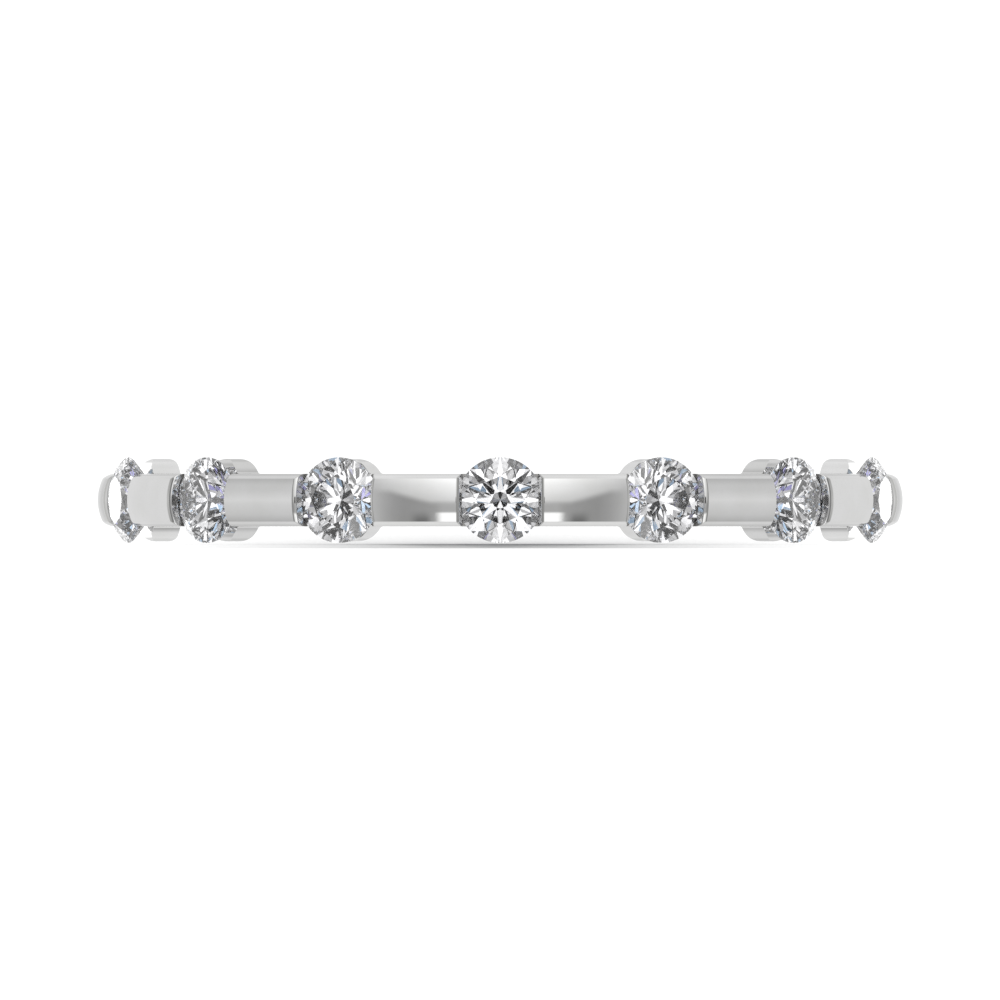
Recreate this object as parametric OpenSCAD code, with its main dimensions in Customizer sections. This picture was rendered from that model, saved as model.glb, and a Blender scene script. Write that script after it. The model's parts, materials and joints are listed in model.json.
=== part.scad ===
// Half-eternity band: a slim domed ring whose front carries round brilliant cut
// diamonds, each held between two bars of metal over a rounded shelf.
// The finger goes through along Z and the middle stone faces -Y.

/* [Finger hole and band] */
// Diameter of the finger hole
finger_d = 17.35; // [15:0.05:21]
// Width of the band along the finger
band_w = 1.34; // [1.3:0.01:1.5]
// Wall from the finger hole to the crest of the domed top, at the ring's two sides
band_t = 1.565; // [1.54:0.005:1.65]
// How far the outside sits towards the front, which thickens the front and thins the back
forward = 0.11; // [0.05:0.01:0.14]
// Radius of the domed top, across the band
dome_r = 1.25; // [1.1:0.05:1.6]
// Width of the domed top between its two creases
crease_w = 1.094; // [1:0.002:1.1]
// Radius of the rounded edge outside each crease
edge_r = 0.5; // [0.4:0.05:0.6]
// Radius of the eased edges of the finger hole
comfort_r = 0.12; // [0.08:0.01:0.2]

/* [Stones] */
// Number of stones
stones = 7; // [3:2:9]
// Angle between neighbouring stones, about the finger
pitch = 24.6; // [24:0.1:26]
// Diameter of a stone
stone_d = 2.18; // [2.1:0.01:2.2]
// Height of the middle of the girdle above the finger hole
girdle_h = 1.175; // [1.16:0.005:1.2]
// Width of the table as a share of the diameter
table_share = 0.56; // [0.53:0.01:0.6]
// Height of the crown as a share of the diameter
crown_share = 0.15; // [0.14:0.005:0.16]
// Thickness of the girdle as a share of the diameter
girdle_share = 0.028; // [0.026:0.001:0.035]
// Depth of the pavilion as a share of the diameter
pavilion_share = 0.435; // [0.425:0.001:0.44]
// Length of a star facet as a share of the way to the girdle
star_share = 0.55; // [0.5:0.01:0.6]
// Length of a lower half facet as a share of the way to the culet
lower_half_share = 0.78; // [0.74:0.01:0.82]

/* [Bar ends] */
// Half of the gap between two bars, down at the girdle
gap_low = 0.96; // [0.95:0.01:1]
// Half of the gap between two bars, below the bevel
gap_high = 1.04; // [1.03:0.01:1.06]
// Size of the bevel along the top edge of a bar's end
bevel = 0.08; // [0.06:0.002:0.09]
// Lean of a bar's end face away from the stone
end_lean = 20; // [18:1:24]

/* [Shelves] */
// Radius of the round ends of a shelf, seen along the stone's axis
shelf_r = 0.72; // [0.7:0.01:0.76]
// Half of the overall length of a shelf, along the finger
shelf_half = 1.05; // [1.04:0.002:1.07]
// Height of the top of a shelf above the finger hole
shelf_h = 0.72; // [0.7:0.01:0.76]
// Radius of the rounded shoulder of a shelf
shoulder_r = 0.28; // [0.24:0.01:0.34]
// Radius of the rounded edge of a shelf at the finger hole
hem_r = 0.12; // [0.1:0.01:0.16]
// Radius of the fillet between a shelf and the side of the band
fillet_r = 0.1; // [0.06:0.01:0.12]
// Diameter of the open hole under each stone
light_hole_d = 0.84; // [0.7:0.02:0.9]
// Gap all round a stone in its seat
seat_gap = 0.015; // [0.01:0.005:0.03]

/* [Hidden] */
$fn = 96;

finger_r = finger_d / 2;
side_r = finger_r + band_t;
band_half = band_w / 2;
crease_half = crease_w / 2;
crease_drop = dome_r - sqrt(pow(dome_r, 2) - pow(crease_half, 2));
// Depth of the rounded edge's centre below the crest, so that it meets the dome at the crease
edge_depth = crease_drop + sqrt(pow(edge_r, 2) - pow(crease_half - band_half + edge_r, 2));

stone_r = stone_d / 2;
girdle_r = finger_r + girdle_h;
girdle_top = girdle_share * stone_d / 2;
table_h = girdle_top + crown_share * stone_d;
culet_h = -girdle_top - pavilion_share * stone_d;
shelf_top_r = finger_r + shelf_h;

// Size of a cutting shape that takes away all that is above or beside it
reach = 3;
// How far a cutting or a trimmed shape runs on past the face where it counts
run_on = 0.5;
// How far a rounding's circle bites into what it meets
bite = 0.004;
// Height above the finger hole where a gap's cut begins, just under the edges of its floor
gap_start = 0.2;
// How far a sloped cut runs down its face, up past the crest, and each way from the face
slope_down = 0.6;
slope_up = 0.3;
slope_side = 0.4;
// Gap below the culet, in gaps round the stone
tip_gaps = 1.5;
// How far in over the crown the room for a stone reaches
crown_room = 0.5;
// Number of facets of one kind round a stone
folds = 8;
// How far the half facets run on past the girdle, as a share of the radius
half_run_on = 0.024;

// Angle of stone k from the front
function stone_angle(k) = (k - (stones + 1) / 2) * pitch;

// Height of the outside's crest in the frame of stone k, at the place t along the band
function outside_h(k, t) = let (a = stone_angle(k))
    forward * cos(a) + sqrt(pow(side_r, 2) - pow(t + forward * sin(a), 2));

// A position in the frame of stone k: X along the band, Y along the finger, Z outwards
module at_stone(k) {
    rotate([0, 0, stone_angle(k)])
        rotate([90, 0, 0])
            children();
}

// A ring about the finger, drawn in the frame of a stone
module about_finger() {
    rotate([-90, 0, 0])
        rotate_extrude()
            children();
}

// A section from radius r0 to r1 and half wide each way, with rounded corners
module rounded_section(r0, r1, half, inner, outer) {
    translate([r0 + inner, -half])
        square([r1 - outer - r0 - inner, 2 * half]);
    translate([r0, inner - half])
        square([r1 - outer - r0, 2 * (half - inner)]);
    translate([r0 + inner, outer - half])
        square([r1 - r0 - inner, 2 * (half - outer)]);
    for (side = [-1, 1]) {
        translate([r0 + inner, side * (half - inner)])
            circle(inner);
        translate([r1 - outer, side * (half - outer)])
            circle(outer);
    }
}

// The section of the band's outside, with its crest at the given radius: a domed top
// between two rounded edges
module outer_section(top_r) {
    inner_r = finger_r - run_on;
    centre_r = top_r - edge_depth;
    flat_half = band_half - edge_r;
    intersection() {
        union() {
            translate([inner_r, -band_half])
                square([centre_r - inner_r, band_w]);
            translate([inner_r, -flat_half])
                square([top_r - inner_r, 2 * flat_half]);
            for (side = [-1, 1])
                translate([centre_r, side * flat_half])
                    circle(edge_r);
        }
        translate([top_r - dome_r, 0])
            circle(dome_r);
    }
}

// The part of a gap that lies above a sloping face which follows the dome.
// The face passes through the point (t, h) and leans by the given angle.
module sloped_cut(t, h, lean) {
    across = t * cos(lean) - h * sin(lean);
    along = t * sin(lean) + h * cos(lean);
    sag = crease_drop * sin(lean);
    face_r = (pow(crease_half, 2) + pow(sag, 2)) / (2 * sag);
    rotate([0, lean, 0])
        translate([0, 0, along - slope_down])
            linear_extrude(slope_down + slope_up)
                difference() {
                    translate([across - slope_side, -band_w])
                        square([2 * slope_side, 2 * band_w]);
                    translate([across + face_r, 0])
                        circle(face_r);
                }
}

// The gap that stone k stands in: straight walls, leaning faces above them and a
// bevel along the top edge, down to a floor that is domed like the band
module gap(k) {
    end_t = gap_high + bevel;
    intersection() {
        union() {
            translate([-gap_low, -band_w, shelf_top_r - run_on])
                cube([2 * gap_low, 2 * band_w, reach]);
            for (side = [-1, 1])
                mirror([side < 0 ? 1 : 0, 0, 0]) {
                    sloped_cut(end_t, outside_h(k, side * end_t), 45);
                    sloped_cut(gap_high, outside_h(k, side * end_t) - bevel, end_lean);
                }
        }
        about_finger()
            difference() {
                translate([finger_r + gap_start, -band_w])
                    square([reach, 2 * band_w]);
                outer_section(shelf_top_r);
            }
    }
}

// The outline of a shelf seen along the stone's axis, with fillets into the band's sides
module shelf_outline() {
    cap_y = shelf_half - shelf_r;
    corner_y = band_half + fillet_r - bite;
    corner_x = sqrt(pow(shelf_r + fillet_r - bite, 2) - pow(corner_y - cap_y, 2));
    difference() {
        union() {
            for (side = [-1, 1])
                translate([0, side * cap_y])
                    circle(shelf_r);
            translate([-shelf_r, -cap_y])
                square([2 * shelf_r, 2 * cap_y]);
            translate([-corner_x, -corner_y])
                square([2 * corner_x, 2 * corner_y]);
        }
        for (side = [-1, 1])
            for (end = [-1, 1])
                translate([end * corner_x, side * corner_y])
                    circle(fillet_r);
    }
}

// The shelf under a stone: it stands out on both sides of the band
module shelf() {
    intersection() {
        translate([0, 0, finger_r - run_on])
            linear_extrude(reach)
                shelf_outline();
        about_finger()
            rounded_section(finger_r, shelf_top_r, shelf_half, hem_r, shoulder_r);
    }
}

// The room cut for a stone and the open hole below it
module seat() {
    half_girdle = girdle_top + seat_gap;
    room_r = stone_r + seat_gap;
    slope = pavilion_share * stone_d / stone_r;
    crown_slope = crown_share / (0.5 - table_share / 2);
    rotate_extrude()
        polygon([[0, girdle_r + culet_h - seat_gap * tip_gaps],
                 [room_r, girdle_r - half_girdle],
                 [room_r, girdle_r + half_girdle],
                 [room_r - crown_room, girdle_r + half_girdle + crown_room * crown_slope],
                 [0, girdle_r + half_girdle + crown_room * crown_slope]]);
    translate([0, 0, finger_r - run_on])
        cylinder(h = run_on + girdle_r + culet_h + light_hole_d / 2 * slope - finger_r,
                 d = light_hole_d);
}

// The plain ring before the gaps are cut: its outside sits towards the front, and its
// finger hole has eased edges
module ring() {
    intersection() {
        translate([0, -forward, 0])
            rotate_extrude()
                outer_section(side_r);
        rotate_extrude()
            rounded_section(finger_r, side_r + reach, band_half + bite, comfort_r, comfort_r);
    }
}

// The cast band: domed shank, bars, bar ends and shelves in one piece
module band() {
    color("gainsboro")
        difference() {
            union() {
                difference() {
                    ring();
                    for (k = [1:stones])
                        at_stone(k)
                            gap(k);
                }
                for (k = [1:stones])
                    at_stone(k)
                        shelf();
            }
            for (k = [1:stones])
                at_stone(k)
                    seat();
        }
}

// Points of the facets, on rings about the stone's axis
function on_ring(count, start, radius, h) =
    [for (i = [0:count - 1]) let (a = start + i * 360 / count) [radius * cos(a), radius * sin(a), h]];

// A round brilliant: table, 8 stars, 8 bezels, 16 upper halves, girdle, 16 lower
// halves and 8 pavilion mains. The halves run on past the girdle, and a cylinder
// trims them to the round, which leaves the scalloped edges of a real girdle.
module brilliant() {
    table_r = table_share * stone_r;
    flat = cos(180 / folds);
    star_r = table_r * flat + star_share * (stone_r - table_r * flat);
    star_h = table_h - (star_r * flat - table_r) * crown_share * stone_d / (stone_r - table_r);
    low_r = stone_r * (1 - lower_half_share);
    low_h = culet_h + low_r * flat * pavilion_share * stone_d / stone_r;
    past = half_run_on * stone_r;
    upper_h = girdle_top - past * (star_h - girdle_top) / (stone_r - star_r);
    lower_h = -girdle_top + past * (-girdle_top - low_h) / (stone_r - low_r);
    points = concat(
        on_ring(folds, 0, table_r, table_h),
        on_ring(folds, 180 / folds, star_r, star_h),
        on_ring(2 * folds, 0, stone_r + past, upper_h),
        on_ring(2 * folds, 0, stone_r + past, lower_h),
        on_ring(folds, 180 / folds, low_r, low_h),
        [[0, 0, culet_h]]);
    each_one = [0:folds - 1];
    halves = 2 * folds;
    star = folds;
    upper = star + folds;
    lower = upper + halves;
    low = lower + halves;
    culet = low + folds;
    faces = concat(
        [[for (i = [folds - 1:-1:0]) i]],
        [for (i = each_one) [i, (i + 1) % folds, star + i]],
        [for (i = each_one) [i, star + i, upper + 2 * i, star + (i + folds - 1) % folds]],
        [for (i = each_one) [star + i, upper + 2 * i + 1, upper + 2 * i]],
        [for (i = each_one) [star + i, upper + (2 * i + 2) % halves, upper + 2 * i + 1]],
        [for (j = [0:halves - 1])
            [upper + j, upper + (j + 1) % halves, lower + (j + 1) % halves, lower + j]],
        [for (i = each_one) [low + i, lower + 2 * i, lower + 2 * i + 1]],
        [for (i = each_one) [low + i, lower + 2 * i + 1, lower + (2 * i + 2) % halves]],
        [for (i = each_one) [culet, low + (i + folds - 1) % folds, lower + 2 * i, low + i]]);
    intersection() {
        polyhedron(points, faces);
        translate([0, 0, culet_h - run_on])
            cylinder(h = table_h - culet_h + 2 * run_on, r = stone_r);
    }
}

// Stone k in its seat, with one of its bezels towards each bar
module diamond(k) {
    color("white")
        at_stone(k)
            translate([0, 0, girdle_r])
                brilliant();
}

band();
for (k = [1:stones])
    diamond(k);
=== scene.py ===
"""A slim white gold ring with seven round diamonds, lying on its side on a white sheet."""

import json

import bpy
import numpy as np
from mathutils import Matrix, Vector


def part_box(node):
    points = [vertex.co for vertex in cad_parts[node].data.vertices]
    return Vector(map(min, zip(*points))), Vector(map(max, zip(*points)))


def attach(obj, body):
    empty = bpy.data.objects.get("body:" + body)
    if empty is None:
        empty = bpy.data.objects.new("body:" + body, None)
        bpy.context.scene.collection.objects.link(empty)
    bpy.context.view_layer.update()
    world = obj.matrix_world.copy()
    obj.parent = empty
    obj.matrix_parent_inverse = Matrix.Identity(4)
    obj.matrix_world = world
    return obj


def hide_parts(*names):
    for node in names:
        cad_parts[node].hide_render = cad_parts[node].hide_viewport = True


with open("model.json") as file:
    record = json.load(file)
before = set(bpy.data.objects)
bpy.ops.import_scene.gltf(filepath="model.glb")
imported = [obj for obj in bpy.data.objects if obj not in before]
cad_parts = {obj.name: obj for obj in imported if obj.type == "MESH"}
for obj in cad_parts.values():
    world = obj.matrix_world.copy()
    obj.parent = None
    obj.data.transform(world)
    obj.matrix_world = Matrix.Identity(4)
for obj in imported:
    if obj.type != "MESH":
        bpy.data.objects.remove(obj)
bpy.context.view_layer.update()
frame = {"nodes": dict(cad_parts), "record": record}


# The ring comes from the jeweller's bench as one casting of white gold: the plain domed shank, the bars
# between the stones with their leaning ends, and a rounded shelf with a light hole under each stone. It
# is mirror polished and rhodium plated, and every edge is softened a little by the mop.

# The casting's sizes are in millimetres, and MM turns them into metres
MM = 1e-3
stones = sorted(name for name in frame["nodes"] if name.startswith("diamond_"))
pitch = np.radians(24.6)
# The finger hole's radius, from the record's own mount
finger_r = frame["record"]["mounts"][0]["dims"]["r_mm"]
# The crest's radius, and how far forward of the finger hole's axis the outside's axis lies
crest_r, forward = 10.24, 0.11
# Across the band: half its width, the dome, a crease's place, the rounded edge and the eased inner one
band_half, dome_r, crease_half, edge_r, comfort_r = 0.67, 1.25, 0.547, 0.5, 0.12
# A bar's end: how far it is from the stone's axis low down and at the top, its bevel and its lean
gap_low, gap_high, bevel, end_lean = 0.96, 1.04, 0.08, np.radians(20)
# The room for a stone: height, radius and half thickness of its girdle, and the two cones
girdle_r, room_r, room_half = 9.85, 1.105, 0.0455
crown_slope, pavilion_slope, room_tip = 0.682, 0.865, 8.8487
# Where the burr cut, the colour is darkened as painted shade as well as made matt
# The burr's matt cut: the height where it begins, how it fades, and its share on the leaning face
burr_and_shade_top, burr_and_shade_fade, polished_share = 9.93, 0.05, 0.1
# The shelf: its top, half width and half length, then its shoulder, eased foot, fillet and light hole
shelf_top_r, shelf_r, shelf_half = 9.395, 0.72, 1.05
shoulder_r, hem_r, fillet_r, light_hole_r = 0.28, 0.12, 0.1, 0.42
# Half a softened edge, on the band and at a bar's end, and how far a bar's top edge is mopped round
soft, end_soft = 0.008, 0.018
edge_round = np.array([0.55, 0.4])[:, None, None]
# How far one shell's surface keeps from another's, and where a bar's floor ends under the shelf
shell_gap, floor_end = 0.01, 0.66
# Places of the finger hole's two middle rows, and the columns along a bar and along the shank
hole_row, bar_columns, shank_columns = 0.2, 15, 180

flat_half = band_half - edge_r
crease_drop = dome_r - np.sqrt(dome_r**2 - crease_half**2)
edge_drop = crease_drop + np.sqrt(edge_r**2 - (crease_half - flat_half) ** 2)


def stone_angle(k):
    """Angle of stone k from the front: its number less the middle stone's, times the pitch."""
    return (k - (len(stones) + 1) / 2) * pitch


def from_stone(angle, t, h, z):
    """Turns t along the band, h outwards and z along the finger, all at a stone, into x, y and z, by
    the stone's angle about the ring's axis."""
    t, h, z = np.broadcast_arrays(t, h, z)
    x = t * np.cos(angle) + h * np.sin(angle)
    y = t * np.sin(angle) - h * np.cos(angle)
    return np.stack([x, y, z], axis=-1)


def across_outside():
    """The outside from side to side: place z, drop below the crest, and tilt of the surface. A dome
    lies between two rounded edges, all arcs, and a soft edge's width parts them at each crease."""
    crease = np.arcsin((crease_half - soft) / dome_r)
    dome = np.linspace(-crease, crease, 25)
    edge = np.linspace(np.pi / 2, np.arcsin((crease_half + soft - flat_half) / edge_r), 9)
    edge_z, edge_d = flat_half + edge_r * np.sin(edge), edge_drop - edge_r * np.cos(edge)
    z = np.concatenate([-edge_z, dome_r * np.sin(dome), edge_z[::-1]])
    drop = np.concatenate([edge_d, dome_r * (1 - np.cos(dome)), edge_d[::-1]])
    tilt = np.concatenate([-edge, dome, edge[::-1]])
    return z, drop, tilt


row_z, row_drop, row_tilt = across_outside()


def bar_end_depth(h, z, angle, side):
    """How far from the stone's axis a bar begins, at height h and place z. It is the largest of four:
    the straight wall, the leaning face, the bevel along its top, and the groove turned for the stone's
    girdle. Face and bevel go back with the tangent of their lean and bow as the crest does across. The
    groove is the girdle's circle, less what the stone's two cones take off above and below."""
    end_t = gap_high + bevel
    end_chord = crest_r**2 - (side * end_t + forward * np.sin(angle)) ** 2
    end_h = forward * np.cos(angle) + np.sqrt(end_chord)
    reach = np.full(np.broadcast(h, z).shape, gap_low)
    for t0, h0, lean in ((gap_high, end_h - bevel, end_lean), (end_t, end_h, np.pi / 4)):
        sag = crease_drop * np.sin(lean)
        face_r = (crease_half**2 + sag**2) / (2 * sag)
        bow = face_r - np.sqrt(face_r**2 - z**2)
        reach = np.maximum(reach, t0 + np.tan(lean) * (h - h0) + bow / np.cos(lean))
    above = np.clip(h - girdle_r - room_half, 0, None) / crown_slope
    below = np.clip(girdle_r - room_half - h, 0, None) / pavilion_slope
    groove = np.clip(room_r - above - below, 0, None)
    return np.maximum(reach, np.sqrt(np.clip(groove**2 - z**2, 0, None)))


def bar_end(angle, side):
    """One end of a bar, from its top edge down to the floor of the gap, as points and normals for each
    column and row. The face is the graph of its depth over height and z, so its normal comes from the
    depth's slopes, and its top rows lean back towards the crest's normal. The floor is the shelf's
    round top, a hair lower."""
    sin_part = forward * np.sin(angle)
    top_t = np.full(row_z.shape, gap_high + bevel)
    # The top edge's height and its distance from the stone hang on each other, and settle by turns
    for _ in range(20):
        chord = (crest_r - row_drop) ** 2 - (side * top_t + sin_part) ** 2
        top_h = forward * np.cos(angle) + np.sqrt(chord)
        top_t = bar_end_depth(top_h, row_z, angle, side)
    floor_h = np.sqrt((shelf_top_r - row_drop) ** 2 - gap_low**2)
    bow_drop = dome_r - np.sqrt(dome_r**2 - row_z**2)
    bevel_foot = np.minimum(top_h[len(row_z) // 2] - bevel - bow_drop, top_h - 2.5 * end_soft)
    shares = np.linspace(0, 1, 30)[:, None]
    face_h = (bevel_foot - end_soft) * (1 - shares) + (floor_h + soft) * shares
    h = np.concatenate([[top_h - end_soft, bevel_foot + end_soft], face_h])
    z = np.broadcast_to(row_z, h.shape)
    t = bar_end_depth(h, z, angle, side)
    step = 1e-3
    rise_h = bar_end_depth(h + step, z, angle, side) - bar_end_depth(h - step, z, angle, side)
    rise_z = bar_end_depth(h, z + step, angle, side) - bar_end_depth(h, z - step, angle, side)
    slope_h, slope_z = rise_h / (2 * step), rise_z / (2 * step)
    normal = from_stone(angle, -side * np.ones_like(t), slope_h, slope_z)
    normal /= np.linalg.norm(normal, axis=-1, keepdims=True)
    crest = from_stone(angle, side * t[:2], h[:2], 0) / h[:2, :, None] * np.cos(row_tilt)[:, None]
    crest[..., 2] = np.sin(row_tilt)
    normal[:2] = normal[:2] * (1 - edge_round) + crest * edge_round
    rows = np.ones_like(row_z)
    floor_t = np.linspace(gap_low - soft, floor_end, 4)[:, None] * rows
    under_shelf = np.array([0, 0, shell_gap, 2 * shell_gap])[:, None]
    floor_r = (shelf_top_r - row_drop) * rows - under_shelf
    floor = from_stone(angle, side * floor_t, np.sqrt(floor_r**2 - floor_t**2), row_z)
    up = floor / floor_r[..., None] * np.cos(row_tilt)[:, None]
    up[..., 2] = np.sin(row_tilt)
    points = np.concatenate([from_stone(angle, side * t, h, z), floor])
    # Below the burr's top the face is matt, and its colour is darkened as painted shade
    matt = np.clip((burr_and_shade_top - h) / burr_and_shade_fade, polished_share, 1)
    burred_and_shaded = np.concatenate([matt, np.ones_like(floor_t)])
    # Degrees from the stone to the finger hole's columns, under the face and then under the floor
    face_foot = np.linspace(6.9, 6.25, len(h))
    floor_foot = np.linspace(6.0, 4.02, len(floor_t))
    foot = angle + side * np.radians(np.concatenate([face_foot, floor_foot]))
    edge = angle + side * np.arctan2(top_t, top_h)
    return points, np.concatenate([normal, up]), burred_and_shaded, foot, edge


def ring_piece(start, stop, count):
    """A closed length of the band between the stones at two angles: the outside is turned about an axis
    set a little to the front, the finger hole about the ring's own, and the two ends are bar ends. Each
    column is a loop of rows: the outside, one flat side, the finger hole and the other flat side."""
    first, first_n, first_cut_and_shade, first_in, first_edge = bar_end(start, 1)
    last, last_n, last_cut_and_shade, last_in, last_edge = bar_end(stop, -1)
    inset = end_soft / crest_r
    share = np.linspace(0, 1, count)[:, None]
    theta = (first_edge + inset) * (1 - share) + (last_edge - inset) * share
    chord = (crest_r - row_drop) ** 2 - (forward * np.sin(theta)) ** 2
    radius = forward * np.cos(theta) + np.sqrt(chord)
    z = row_z * np.ones_like(theta)
    top = np.stack([radius * np.sin(theta), -radius * np.cos(theta), z], axis=-1)
    out = (top + [0, forward, 0]) * [1, 1, 0] / (crest_r - row_drop)[:, None]
    top_n = out * np.cos(row_tilt)[:, None] + np.sin(row_tilt)[:, None] * [0, 0, 1]
    outside = np.concatenate([first[::-1], top, last])
    outside_n = np.concatenate([first_n[::-1], top_n, last_n])
    between = np.linspace(first_in[0], last_in[0], count + 2)[1:-1]
    inner = np.concatenate([first_in[::-1], between, last_in])

    turn = np.linspace(0, np.pi / 2, 6)
    eased_z = band_half - comfort_r * (1 - np.sin(turn))
    eased_r = comfort_r * (1 - np.cos(turn))
    hole_z = np.concatenate([eased_z[::-1], [hole_row, -hole_row], -eased_z])
    hole_r = finger_r + np.concatenate([eased_r[::-1], [0, 0], eased_r])
    hole_tilt = np.concatenate([turn[::-1], [0, 0], -turn])
    ray = np.stack([np.sin(inner), -np.cos(inner), np.zeros_like(inner)], axis=-1)[:, None, :]
    # The columns nearest to a stone run in under its shelf, a hair clear of its foot
    under_shelf = np.zeros((len(inner), 1, 1))
    under_shelf[:3] = under_shelf[-3:] = shell_gap
    hole = ray * (hole_r[:, None] + under_shelf) + hole_z[:, None] * np.array([0, 0, 1])
    hole_n = -ray * np.cos(hole_tilt)[:, None] + np.sin(hole_tilt)[:, None] * np.array([0, 0, 1])

    def side_rows(high, low, sign):
        """The flat side, straight between the outside's edge and the finger hole's eased edge."""
        share = np.array([0.005, 0.5])[:, None]
        rows = high[:, None] * (1 - share) + low[:, None] * share
        rows[..., 2] = sign * band_half
        return rows, np.broadcast_to([0, 0, sign], rows.shape)

    right, right_n = side_rows(outside[:, -1], hole[:, 0], 1)
    left, left_n = side_rows(outside[:, 0], hole[:, -1], -1)
    points = np.concatenate([outside, right, hole, left[:, ::-1]], axis=1)
    normals = np.concatenate([outside_n, right_n, hole_n, left_n[:, ::-1]], axis=1)
    # The matt cut, whose colour is darkened as painted shade, and the grey line of painted shade
    cut = np.zeros(points.shape[:2])
    cut[: len(first), : len(row_z)] = first_cut_and_shade[::-1]
    cut[-len(last) :, : len(row_z)] = last_cut_and_shade
    # The mop reaches the two top rows of each end, and the first of them is the grey line of painted
    # shade
    cut[[len(first) - 1, len(first) - 2, -len(last), 1 - len(last)], : len(row_z)] = 0
    crease = np.zeros(points.shape[:2])
    crease[[len(first) - 1, -len(last)], : len(row_z)] = 1
    return points, normals, np.stack([cut, crease], axis=-1)


def shelf_outline():
    """A quarter of a shelf seen along the stone's axis, as t, z and normal, then mirrored to a whole
    loop: a straight flank, a round end, and a fillet into the band's side."""
    cap_z = shelf_half - shelf_r
    corner_z = band_half + fillet_r
    corner_t = np.sqrt((shelf_r + fillet_r) ** 2 - (corner_z - cap_z) ** 2)
    tangent = np.arctan2(corner_z - cap_z, corner_t)
    waist = np.arccos(corner_t / shelf_r)
    flank = np.stack([np.full(4, shelf_r), np.linspace(0, cap_z, 4)], -1)
    first_arc = np.linspace(0, waist, 4)[1:]
    cap_arc = np.linspace(tangent, np.pi / 2, 13)
    hollow = np.linspace(-np.pi / 2, tangent - np.pi, 7)
    shoulder = np.stack([shelf_r * np.cos(first_arc), cap_z + shelf_r * np.sin(first_arc)], -1)
    fillet = np.stack([corner_t + fillet_r * np.cos(hollow), corner_z + fillet_r * np.sin(hollow)], -1)
    neck_z = np.linspace(shoulder[-1, 1], fillet[0, 1], 3)[1:] - soft
    neck = np.stack([np.full(2, corner_t), neck_z], -1)
    cap = np.stack([shelf_r * np.cos(cap_arc), cap_z + shelf_r * np.sin(cap_arc)], -1)[1:]
    flat = np.array([[1.0, 0.0]])
    quarter = np.concatenate([flank, shoulder, neck, fillet, cap])
    normal = np.concatenate(
        [
            np.repeat(flat, 4, 0),
            np.stack([np.cos(first_arc), np.sin(first_arc)], -1),
            np.repeat(flat, 2, 0),
            -np.stack([np.cos(hollow), np.sin(hollow)], -1),
            np.stack([np.cos(cap_arc), np.sin(cap_arc)], -1)[1:],
        ]
    )
    half = np.concatenate([quarter, (quarter * [-1, 1])[-2::-1]])
    half_n = np.concatenate([normal, (normal * [-1, 1])[-2::-1]])
    whole = np.concatenate([half, (half * [1, -1])[-2:0:-1]])
    whole_n = np.concatenate([half_n, (half_n * [1, -1])[-2:0:-1]])
    return whole, whole_n


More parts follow.
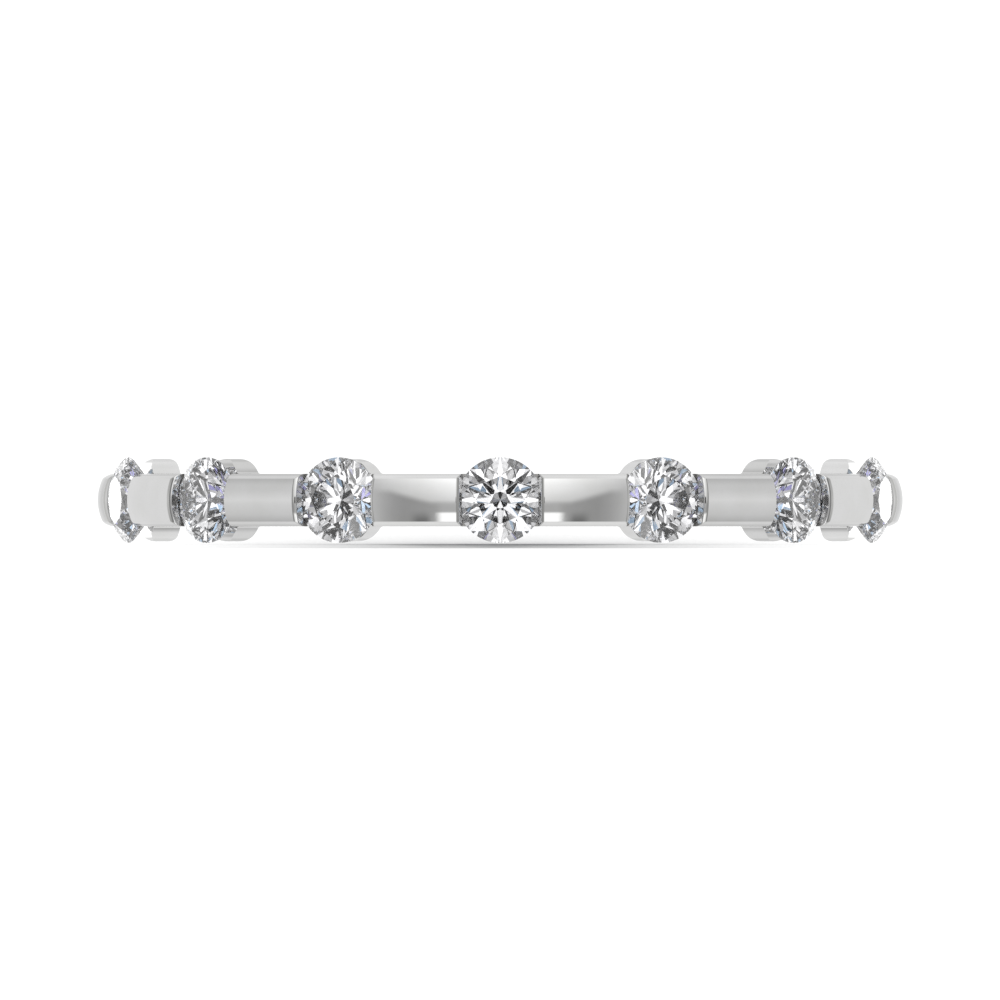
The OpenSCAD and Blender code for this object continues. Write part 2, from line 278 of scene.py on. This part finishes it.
def shelf(angle):
    """The shelf under the stone at an angle: its outline carried up from the finger hole, over the
    shoulder, across the top, down the cone of the seat and out through the light hole. Top and foot are
    drums about the ring's axis whose rims are rounded towards the shelf's two ends."""
    line, line_n = shelf_outline()
    t, z = line[:, :1], line[:, 1:]
    about = np.arctan2(z, t)

    def drum(t, z, radius, rim_r, sign):
        """Height and tilt of a drum: an arc of the radius, with a quarter round at each end."""
        past = np.clip((np.abs(z) - (shelf_half - rim_r)) / rim_r, 0, 1)
        drum_r = radius + sign * rim_r * (1 - np.sqrt(1 - past**2))
        return np.sqrt(drum_r**2 - t**2), np.arcsin(past) * np.sign(z)

    def top_h(t, z):
        """Height and tilt of the shelf's top, which falls at its rims."""
        return drum(t, z, shelf_top_r, shoulder_r, -1)

    def foot_h(t, z):
        """Height and tilt of the shelf's foot, which rises at its rims."""
        return drum(t, z, finger_r, hem_r, 1)

    # Where the seat's cone meets the curved top, again by turns
    cone_r = np.full_like(about, 0.6)
    for _ in range(10):
        cone_r = (top_h(cone_r * np.cos(about), cone_r * np.sin(about))[0] - room_tip) / pavilion_slope

    def carried(t, z, h):
        """Points or directions given at the stone as x, y and z."""
        return from_stone(angle, t, h, z)

    share = np.linspace(0, 1, 6)
    low, high = foot_h(t, z)[0] + soft, top_h(t, z)[0] - soft
    wall = carried(t, z, low * (1 - share) + high * share)
    wall_n = carried(line_n[:, :1] * np.ones_like(share), line_n[:, 1:], 0)

    share = np.linspace(soft / shelf_r, 1, 9) ** 1.7
    top_t = t * (1 - share) + (cone_r + soft) * np.cos(about) * share
    top_z = z * (1 - share) + (cone_r + soft) * np.sin(about) * share
    h, tilt = top_h(top_t, top_z)
    top = carried(top_t, top_z, h)
    outward = carried(top_t, 0, h)
    outward = outward / np.linalg.norm(outward, axis=-1, keepdims=True)
    top_n = outward * np.cos(tilt)[..., None] + np.sin(tilt)[..., None] * np.array([0, 0, 1])

    share = np.linspace(0, 1, 4)
    seat_r = (cone_r - soft) * (1 - share) + (light_hole_r + soft) * share
    seat = carried(seat_r * np.cos(about), seat_r * np.sin(about), room_tip + pavilion_slope * seat_r)
    toward_t, toward_z = -np.cos(about) * np.ones_like(share), -np.sin(about)
    seat_n = carried(pavilion_slope * toward_t, pavilion_slope * toward_z, 1)

    hole_t, hole_z = light_hole_r * np.cos(about), light_hole_r * np.sin(about)
    hole_top = room_tip + pavilion_slope * light_hole_r - soft
    hole_h = hole_top * (1 - share) + (foot_h(hole_t, hole_z)[0] + soft) * share
    hole = carried(hole_t, hole_z, hole_h)
    hole_n = carried(toward_t, toward_z, 0)

    share = np.linspace(0, 1, 6) ** 0.6
    foot_t = (hole_t + soft * np.cos(about)) * (1 - share) + (t - soft * line_n[:, :1]) * share
    foot_z = (hole_z + soft * np.sin(about)) * (1 - share) + (z - soft * line_n[:, 1:]) * share
    h, tilt = foot_h(foot_t, foot_z)
    foot = carried(foot_t, foot_z, h)
    inward = carried(foot_t, 0, h)
    inward = -inward / np.linalg.norm(inward, axis=-1, keepdims=True)
    foot_n = inward * np.cos(tilt)[..., None] + np.sin(tilt)[..., None] * np.array([0, 0, 1])
    points = np.concatenate([wall, top, seat, hole, foot], axis=1)
    # The seat and the light hole are matt, and their colour is darkened as painted shade
    finish = np.zeros((*points.shape[:2], 2))
    finish[:, wall.shape[1] + top.shape[1] : -foot.shape[1], 0] = 1
    return points, np.concatenate([wall_n, top_n, seat_n, hole_n, foot_n], axis=1), finish


def closed_shell(points, normals, finish, loop):
    """Faces over a grid that is closed across: four-cornered ones, which close it along too where it is
    a loop, and one lid for each end of an open length. All turn the way that the normals point."""
    count, rows = points.shape[:2]
    i, j = np.meshgrid(np.arange(count if loop else count - 1), np.arange(rows), indexing="ij")
    near, far, turn = (i % count) * rows, ((i + 1) % count) * rows, (j + 1) % rows
    quads = np.stack([near + j, far + j, far + turn, near + turn], axis=-1).reshape(-1, 4)
    flat, flat_n = points.reshape(-1, 3), normals.reshape(-1, 3)
    a, b, c, d = (flat[quads[:, corner]] for corner in range(4))
    facing = (np.cross(c - a, d - b) * flat_n[quads[:, 0]]).sum()
    lids = np.stack([np.arange(rows), np.arange(rows)[::-1] + (count - 1) * rows])
    if facing < 0:
        quads, lids = quads[:, ::-1], lids[:, ::-1]
    return flat, flat_n, finish.reshape(-1, 2), quads, lids


def cast_band():
    """The whole casting: six bars, the shank and seven shelves, each a closed shell that runs into its
    neighbours."""
    count = len(stones)
    angles = [stone_angle(k) for k in range(1, count + 1)]
    lengths = [ring_piece(start, stop, bar_columns) for start, stop in zip(angles, angles[1:])]
    lengths.append(ring_piece(angles[-1], angles[0] + 2 * np.pi, shank_columns))
    shells = [closed_shell(*length, False) for length in lengths]
    shells += [closed_shell(*shelf(angle), True) for angle in angles]
    points = np.concatenate([shell[0] for shell in shells]) * MM
    normals = np.concatenate([shell[1] for shell in shells])
    finish = np.concatenate([shell[2] for shell in shells]).astype(np.float32)
    starts = np.cumsum([0] + [len(shell[0]) for shell in shells])
    quads = np.concatenate([shell[3] + start for shell, start in zip(shells, starts)])
    lids = np.concatenate([shell[4] + start for shell, start in zip(shells[: len(lengths)], starts)])
    faces = quads.tolist() + lids.tolist()
    mesh = bpy.data.meshes.new("cast_band")
    mesh.from_pydata(points.tolist(), [], faces)
    mesh.polygons.foreach_set("use_smooth", np.ones(len(faces), bool))
    normals /= np.linalg.norm(normals, axis=1, keepdims=True)
    mesh.normals_split_custom_set_from_vertices(normals.tolist())
    for column, name in enumerate(("cut_and_painted_shade", "crease")):
        mesh.attributes.new(name, "FLOAT", "POINT").data.foreach_set("value", finish[:, column].copy())
    band = bpy.data.objects.new("cast_band", mesh)
    bpy.context.scene.collection.objects.link(band)
    return band


def linear(hex_colour):
    """The linear colour of an sRGB hex value. The sRGB curve is taken off each channel: a straight line
    in the darks, and above them a power of 2.4."""
    channels = np.array([int(hex_colour[i : i + 2], 16) for i in (1, 3, 5)]) / 255
    low, high = channels / 12.92, ((channels + 0.055) / 1.055) ** 2.4
    return (*np.where(channels <= 0.04045, low, high).tolist(), 1.0)


def add_node(tree, kind, inputs=None, **settings):
    """Adds one node. The settings are its own properties, and an input is a value or another's
    socket."""
    made = tree.nodes.new("ShaderNode" + kind)
    for name, value in settings.items():
        setattr(made, name, value)
    for name, value in (inputs or {}).items():
        if isinstance(value, bpy.types.NodeSocket):
            tree.links.new(value, made.inputs[name])
        else:
            made.inputs[name].default_value = value
    return made


def new_material(name):
    """An empty material with its tree and its output node."""
    material = bpy.data.materials.new(name)
    material.use_nodes = True
    material.node_tree.nodes.clear()
    return material, material.node_tree, add_node(material.node_tree, "OutputMaterial")


# Colours of the plate where it is thick and thin, and the noise levels between which it changes
rhodium, rhodium_thin, plate_span = "#D5D5D5", "#D0D0CF", (0.35, 0.6)
# The burr's matt cut that the mop misses, darkened as painted shade, and a painted shade line along a
# bar's end
bare_gold_and_painted_shade, cut_roughness, painted_shade_line_grey = "#8E8D8B", 0.35, "#B0B0AE"
# Roughness of the polish at its best and at its worst, and the noise levels between which it changes
polish_roughness, polish_span = (0.03, 0.08), (0.3, 0.7)
# Sizes of the haze and of one wipe of the mop, how the wipes are turned, and their share and depth
haze_size, wipe_size, wipe_turn = 1.6e-3, (0.05e-3, 0.9e-3), (0.4, 0.9, 0.3)
wipe_share, scratch_strength, scratch_depth = 0.35, 0.35, 0.25e-6


def polished_rhodium_plate():
    """Rhodium plate over polished white gold. Haze a millimetre or two across and hairlines left by the
    mop vary the roughness, so that reflections are sharp on the whole and softer in places. Where the
    burr cut the seats, the gap floors and the low part of each bar's end the metal is matt, and its
    colour is darkened there as painted shade. A grey line of painted shade runs along each end's top."""
    material, tree, output = new_material("polished_rhodium_plate")
    place = add_node(tree, "TexCoord").outputs["Object"]
    haze_grain = {"Scale": 1 / haze_size, "Detail": 4.0, "Roughness": 0.6}
    haze = add_node(tree, "TexNoise", {"Vector": place, **haze_grain}).outputs["Fac"]
    across, along = wipe_size
    wipe_scale = (1 / across, 1 / along, 1 / across)
    turned = {"Vector": place, "Rotation": wipe_turn, "Scale": wipe_scale}
    wiped = add_node(tree, "Mapping", turned).outputs["Vector"]
    wipe_grain = {"Scale": 1.0, "Detail": 3.0, "Roughness": 0.7}
    hairline = add_node(tree, "TexNoise", {"Vector": wiped, **wipe_grain}).outputs["Fac"]
    mixed = add_node(tree, "Mix", {"Factor": wipe_share, "A": haze, "B": hairline}).outputs["Result"]
    span = {"From Min": polish_span[0], "From Max": polish_span[1]}
    span |= {"To Min": polish_roughness[0], "To Max": polish_roughness[1]}
    rough = add_node(tree, "MapRange", {"Value": mixed, **span}).outputs["Result"]
    plate = add_node(tree, "ValToRGB", {"Fac": haze})
    for element, level, tone in zip(plate.color_ramp.elements, plate_span, (rhodium_thin, rhodium)):
        element.position = level
        element.color = linear(tone)
    # Where the burr cut, the colour is darkened as painted shade as well as made matt
    cut = add_node(tree, "Attribute", attribute_name="cut_and_painted_shade").outputs["Fac"]
    crease = add_node(tree, "Attribute", attribute_name="crease").outputs["Fac"]
    gold = {"Fac": cut, "Color1": plate.outputs["Color"], "Color2": linear(bare_gold_and_painted_shade)}
    burred_and_shaded = add_node(tree, "MixRGB", gold).outputs["Color"]
    # A grey line of painted shade along each bar end's top edge
    line = {"Fac": crease, "Color1": burred_and_shaded, "Color2": linear(painted_shade_line_grey)}
    colour = add_node(tree, "MixRGB", line).outputs["Color"]
    finish = add_node(tree, "Mix", {"Factor": cut, "A": rough, "B": cut_roughness}).outputs["Result"]
    scratch = {"Height": hairline, "Strength": scratch_strength, "Distance": scratch_depth}
    relief = add_node(tree, "Bump", scratch).outputs["Normal"]
    look = {"Base Color": colour, "Metallic": 1.0, "Roughness": finish, "Normal": relief}
    metal = add_node(tree, "BsdfPrincipled", look)
    tree.links.new(metal.outputs["BSDF"], output.inputs["Surface"])
    return material


band = cast_band()
band.data.materials.append(polished_rhodium_plate())
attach(band, "root")
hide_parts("band")


# Seven round brilliant cut diamonds, about 0.04 carat each. Each was sawn, bruted round and cut with a
# table, thirty two crown facets and twenty four pavilion facets, and sits between two bars with its
# culet over a light hole.

diamond_tint, diamond_ior = "#FDFDFF", 2.417
# Size of the wheel's haze on a facet, and how rough it gets at most
wheel_haze, wheel_roughness = 0.4e-3, 0.004


def cut_diamond():
    """Near colourless diamond. The facets are polished glass smooth, with a trace of wheel haze, so
    that each one shows a sharp piece of the studio."""
    material, tree, output = new_material("cut_diamond")
    place = add_node(tree, "TexCoord").outputs["Object"]
    haze = add_node(tree, "TexNoise", {"Vector": place, "Scale": 1 / wheel_haze, "Detail": 2.0})
    span = {"Value": haze.outputs["Fac"], "To Min": 0.0, "To Max": wheel_roughness}
    rough = add_node(tree, "MapRange", span).outputs["Result"]
    look = {"Base Color": linear(diamond_tint), "Roughness": rough, "IOR": diamond_ior}
    look["Transmission Weight"] = 1.0
    stone = add_node(tree, "BsdfPrincipled", look)
    tree.links.new(stone.outputs["BSDF"], output.inputs["Surface"])
    return material


diamond = cut_diamond()
for name in stones:
    for slot in frame["nodes"][name].material_slots:
        slot.material = diamond


# The floor is one sheet of matt white paper. It is flat under the ring, a hair below the stones'
# girdles on which the ring lies, rolls down in front of it, and lifts a little behind it.

under_stones = 0.03e-3
floor_z = min(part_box(name)[0].z for name in stones) - under_stones
# Where the sheet starts to fall and to rise, how sharply it bends there, how far it goes, and the roll
front_edge, back_edge = -10.3e-3, 10.4e-3
front_radius, back_radius = 1.5e-3, 20e-3
front_dip, back_rise = 0.1e-3, 0.6e-3
roll_radius = 0.3
# Half the sheet's width, its front and back ends, and how far its close rows reach
sheet_half, sheet_front, sheet_back, sheet_near = 0.3, -0.12, 0.3, 20e-3
# The painted shadow's wide part and its close one, each with its reach and the power that makes it
# dense
shades, shade_grey = ((4.5e-3, 2.8), (1e-3, 5.0)), "#7B7C7E"


def sheet_height(y):
    """Height of the sheet. In front of the ring a parabola falls, smoothly held to the dip, and a
    flatter one rolls on down. Behind the ring a parabola rises, smoothly held to the rise."""
    ahead, behind = np.clip(front_edge - y, 0, None), np.clip(y - back_edge, 0, None)
    dip = front_dip * np.tanh(ahead**2 / (2 * front_radius * front_dip))
    rise = back_rise * np.tanh(behind**2 / (2 * back_radius * back_rise))
    return floor_z - dip - ahead**2 / (2 * roll_radius) + rise


def paper_sheet():
    """A grid of x and y carried on the sheet's height, with rows close together near the ring."""
    near = np.linspace(-sheet_near, sheet_near, 401)
    ahead = np.linspace(sheet_front, -sheet_near, 60)
    behind = np.linspace(sheet_near, sheet_back, 30)
    y = np.concatenate([ahead[:-1], near, behind[1:]])
    x = np.array([-sheet_half, sheet_half])
    grid_x, grid_y = np.meshgrid(x, y)
    points = np.stack([grid_x, grid_y, sheet_height(grid_y)], axis=-1).reshape(-1, 3)
    row = 2 * np.arange(len(y) - 1)
    faces = np.stack([row, row + 1, row + 3, row + 2], axis=1)
    mesh = bpy.data.meshes.new("paper_sheet")
    mesh.from_pydata(points.tolist(), [], faces.tolist())
    mesh.polygons.foreach_set("use_smooth", np.ones(len(faces), bool))
    sheet = bpy.data.objects.new("paper_sheet", mesh)
    bpy.context.scene.collection.objects.link(sheet)
    return sheet


def matt_white_paper():
    """Matt paper in an even light. It is white, and its colour is painted grey as shadow where the ring
    hides the tent from it: widely and softly round the ring, and densely where the two all but touch."""
    material, tree, output = new_material("matt_white_paper")
    parts = []
    for reach, power in shades:
        open_share = add_node(tree, "AmbientOcclusion", {"Distance": reach}, samples=16).outputs["AO"]
        parts.append(add_node(tree, "Math", {0: open_share, 1: power}, operation="POWER").outputs[0])
    lit = add_node(tree, "Math", {0: parts[0], 1: parts[1]}, operation="MULTIPLY").outputs[0]
    tone = {"Fac": lit, "Color1": linear(shade_grey), "Color2": linear("#FFFFFF")}
    matt = add_node(tree, "BsdfDiffuse", {"Color": add_node(tree, "MixRGB", tone).outputs["Color"]})
    tree.links.new(matt.outputs["BSDF"], output.inputs["Surface"])
    return material


sheet = paper_sheet()
sheet.data.materials.append(matt_white_paper())
sheet.visible_glossy = sheet.visible_transmission = False


# The studio is a white tent of cloth and card round the ring, with a dim front, a top light whose lower
# edge slants up to each side, and low cards. A direction is named by the small mirror that would show
# it to the camera: how far it is turned aside and how far it is tilted up, in degrees.

# The dim front by turn, and the patch low beside the card where it is darkest
dim_light = {
    0: 0.62, 8.2: 0.61, 9.3: 0.5, 11: 0.46, 14: 0.43, 15.5: 0.48, 17.2: 0.59, 18.2: 0.68, 90: 0.68
}
low_dark, low_dark_tilt, low_dark_turn = 0.24, (-26, -10), (9.6, 10.9, 11.7, 13.5)
# The top light by tilt, its fall to the sides, and the slant and blur of its lower edge
top_light = {-90: 0.6, -5: 0.6, 0: 0.83, 9: 1.0, 18: 1.15, 24: 1.3, 40: 1.5, 90: 1.1}
top_turn, top_gain = (6, 18), (1.25, 0.68)
edge_turn, edge_tilt, edge_blur = (9.9, 16), (-3.9, 10.3), 4.8
# The bright card low in the middle
low_card, low_card_tilt, low_card_turn = 1.6, (-13, -16.5), (8.2, 9.6)
# The sides by tilt, the walls beyond them, and the dark card that two stones' tables show
side_light = {
    -90: 0.8, -25: 0.66, -17: 0.82, -5: 0.92, 0: 0.99, 2: 0.97, 11: 0.85, 18: 0.82, 24: 0.7, 90: 0.8
}
side_turn, wall_turn, wall_light = (19, 30), (46, 56), 1.0
table_light, table_turn = 0.3, (5.0, 2.6)
# The far cards, which light the ends of the row, and the tent's far end
far_card, far_glow, far_card_turn, far_card_tilt = 3.6, 2.0, (70.5, 72.5), (12, 9)
end_turn, end_light = (77, 80), 0.72
# The roof and the floor by tilt, in front and at the sides
front_rim = {0: 1.0, 50: 1.06, 60: 1.1, 68: 0.98, 80: 0.85, 90: 0.8}
side_rim = {0: 0.95, 50: 0.94, 60: 0.92, 67: 0.76, 75: 0.68, 84: 0.78, 90: 0.84}
rim_tilt, rim_turn = (30, 46), (20, 35)
# Straight ahead of the camera, the camera's own lens, and what the paper and the camera get
ahead_light, ahead_span = 0.8, (0.96, 0.99)
lens_light, lens_size, paper_light = 0.05, (4.5, 2.5), 1.12
# The level that a table of light holds at most
brightest = 2.2
# The smaller cards that a stone shows: their number and places, and their levels by a cell's dice
card_cells, card_shift = 4.2, (-2.4, 8.8, -1.7)
card_light = {0.0: 0.0, 0.26: 0.03, 0.3: 0.5, 0.55: 0.88, 0.75: 1.25, 1.0: 1.8}
side_card_light = {0.0: 0.0, 0.5: 0.03, 0.54: 0.25, 0.75: 0.6, 0.8: 1.3, 1.0: 1.8}
side_card_turn, open_light, open_turn = (16, 24), 1.8, (60, 76)
blue_share, violet_share = 0.13, 0.05
pale_blue, violet = "#C4E2FF", "#9A96CC"


def light_table(tree, value, stops, low, high):
    """A level looked up in a table of stops, which is straight between them. A ramp holds the levels as
    shares of the brightest."""
    share = add_node(tree, "MapRange", {"Value": value, "From Min": low, "From Max": high}).outputs[0]
    table = add_node(tree, "ValToRGB", {"Fac": share})
    elements = table.color_ramp.elements
    elements.remove(elements[1])
    for number, (place, light) in enumerate(stops.items()):
        element = elements[0] if number == 0 else elements.new((place - low) / (high - low))
        element.color = (light / brightest,) * 3 + (1.0,)
    level = {0: table.outputs["Color"], 1: brightest}
    return add_node(tree, "Math", level, operation="MULTIPLY").outputs[0]


def blend(tree, value, span, a, b):
    """A level that goes from a to b as the value goes over the span, by three times its square less
    twice its cube. A span that falls is turned round."""
    low, high = span
    if low > high:
        low, high, a, b = high, low, b, a
    over = {"Value": value, "From Min": low, "From Max": high}
    share = add_node(tree, "MapRange", over, interpolation_type="SMOOTHSTEP").outputs[0]
    return add_node(tree, "Mix", {"Factor": share, "A": a, "B": b}).outputs[0]


def studio_tent():
    """The tent's brightness by direction. With y the way ahead and z up, a mirror's turn is the
    arctangent of x over one less y, and the sine of its tilt is z over the root of twice one less y.
    Metal shows the soft tent. Rays that leave a stone see small cards, cells round scattered points,
    each with its own level and tint."""
    world = bpy.data.worlds.new("studio_tent")
    bpy.context.scene.world = world
    world.use_nodes = True
    tree = world.node_tree
    tree.nodes.clear()
    direction = add_node(tree, "TexCoord").outputs["Generated"]
    way = add_node(tree, "SeparateXYZ", {"Vector": direction}).outputs
    across = add_node(tree, "Math", {0: way["X"]}, operation="ABSOLUTE").outputs[0]
    ahead = add_node(tree, "Math", {0: 1.0, 1: way["Y"]}, operation="SUBTRACT").outputs[0]
    aside = add_node(tree, "Math", {0: across, 1: ahead}, operation="ARCTAN2").outputs[0]
    turn = add_node(tree, "Math", {0: aside}, operation="DEGREES").outputs[0]
    twice = add_node(tree, "Math", {0: ahead, 1: 2.0}, operation="MULTIPLY").outputs[0]
    length = add_node(tree, "Math", {0: twice}, operation="SQRT").outputs[0]
    sine = add_node(tree, "Math", {0: way["Z"], 1: length}, operation="DIVIDE").outputs[0]
    lean = add_node(tree, "Math", {0: sine}, operation="ARCSINE").outputs[0]
    tilt = add_node(tree, "Math", {0: lean}, operation="DEGREES").outputs[0]
    steep = add_node(tree, "Math", {0: tilt}, operation="ABSOLUTE").outputs[0]

    lines = []
    for over, levels in ((top_turn, top_gain), (edge_turn, edge_tilt)):
        line = {"Value": turn, "From Min": over[0], "From Max": over[1]}
        line |= {"To Min": levels[0], "To Max": levels[1]}
        lines.append(add_node(tree, "MapRange", line).outputs[0])
    gain, edge = lines
    top = light_table(tree, tilt, top_light, -90, 90)
    top = add_node(tree, "Math", {0: top, 1: gain}, operation="MULTIPLY").outputs[0]
    above = add_node(tree, "Math", {0: tilt, 1: edge}, operation="SUBTRACT").outputs[0]
    dim = light_table(tree, turn, dim_light, 0, 90)
    dark = blend(tree, turn, low_dark_turn[:2], dim, blend(tree, tilt, low_dark_tilt, low_dark, dim))
    dark = blend(tree, turn, low_dark_turn[2:], dark, dim)
    below = blend(tree, turn, low_card_turn, blend(tree, tilt, low_card_tilt, dim, low_card), dark)
    front = blend(tree, above, (-edge_blur, edge_blur), below, top)
    side = light_table(tree, tilt, side_light, -90, 90)
    sides = blend(tree, turn, side_turn, front, side)
    past = add_node(tree, "Math", {0: turn, 1: np.degrees(pitch)}, operation="SUBTRACT").outputs[0]
    past = add_node(tree, "Math", {0: past}, operation="ABSOLUTE").outputs[0]
    sides = blend(tree, past, table_turn, sides, table_light)
    walls = blend(tree, turn, wall_turn, sides, wall_light)
    far = blend(tree, steep, far_card_tilt, far_glow, far_card)
    end = blend(tree, turn, end_turn, blend(tree, turn, far_card_turn, walls, far), end_light)
    fore = light_table(tree, steep, front_rim, 0, 90)
    aft = light_table(tree, steep, side_rim, 0, 90)
    rim = blend(tree, turn, rim_turn, fore, aft)
    tent = blend(tree, steep, rim_tilt, end, rim)
    off = add_node(tree, "Math", {0: turn, 1: steep}, operation="MAXIMUM").outputs[0]
    tent = blend(tree, way["Y"], ahead_span, tent, ahead_light)
    soft_tent = blend(tree, off, lens_size, tent, lens_light)

    mirrored = add_node(tree, "CombineXYZ", {"X": across, "Y": way["Y"], "Z": way["Z"]}).outputs[0]
    shifted = add_node(tree, "VectorMath", {0: mirrored, 1: card_shift}, operation="ADD").outputs[0]
    cards = add_node(tree, "TexVoronoi", {"Vector": shifted, "Scale": card_cells}, feature="F1")
    dice = add_node(tree, "SeparateColor", {"Color": cards.outputs["Color"]}).outputs
    front_card = light_table(tree, dice["Red"], card_light, 0, 1)
    side_card = light_table(tree, dice["Red"], side_card_light, 0, 1)
    card = blend(tree, turn, side_card_turn, front_card, side_card)
    card = blend(tree, turn, open_turn, card, open_light)
    white = tint = linear("#FFFFFF")
    for channel, share, shade in (("Green", blue_share, pale_blue), ("Blue", violet_share, violet)):
        over = {0: dice[channel], 1: 1 - share}
        picked = add_node(tree, "Math", over, operation="GREATER_THAN").outputs[0]
        tinted = {"Fac": picked, "Color1": tint, "Color2": linear(shade)}
        tint = add_node(tree, "MixRGB", tinted).outputs[0]

    ray = add_node(tree, "LightPath").outputs
    direct = {0: ray["Is Camera Ray"], 1: ray["Is Diffuse Ray"]}
    shown = add_node(tree, "Math", direct, operation="MAXIMUM").outputs[0]
    plain = add_node(tree, "Mix", {"Factor": shown, "A": soft_tent, "B": paper_light}).outputs[0]
    leaves_stone = ray["Is Transmission Ray"]
    strength = add_node(tree, "Mix", {"Factor": leaves_stone, "A": plain, "B": card}).outputs[0]
    colour = add_node(tree, "MixRGB", {"Fac": leaves_stone, "Color1": white, "Color2": tint}).outputs[0]
    light = add_node(tree, "Background", {"Color": colour, "Strength": strength})
    tree.links.new(light.outputs["Background"], add_node(tree, "OutputWorld").inputs["Surface"])


studio_tent()
bpy.context.scene.view_settings.view_transform = "Standard"
bpy.context.scene.cycles.glossy_bounces = 16
bpy.context.scene.cycles.max_bounces = 24
bpy.context.scene.cycles.transmission_bounces = 16


# The camera looks level along the ring's side, from so far off that nothing tapers.

picture_width = 25.445e-3
picture_centre = (-0.005e-3, 0.0, 0.0025e-3)
camera_distance = 0.2

camera = bpy.data.objects.new("camera", bpy.data.cameras.new("camera"))
bpy.context.scene.collection.objects.link(camera)
camera.data.type = "ORTHO"
camera.data.ortho_scale = picture_width
camera.data.clip_start, camera.data.clip_end = 1e-3, 2.0
camera.location = (picture_centre[0], -camera_distance, picture_centre[2])
camera.rotation_euler = (np.pi / 2, 0, 0)
bpy.context.scene.camera = camera
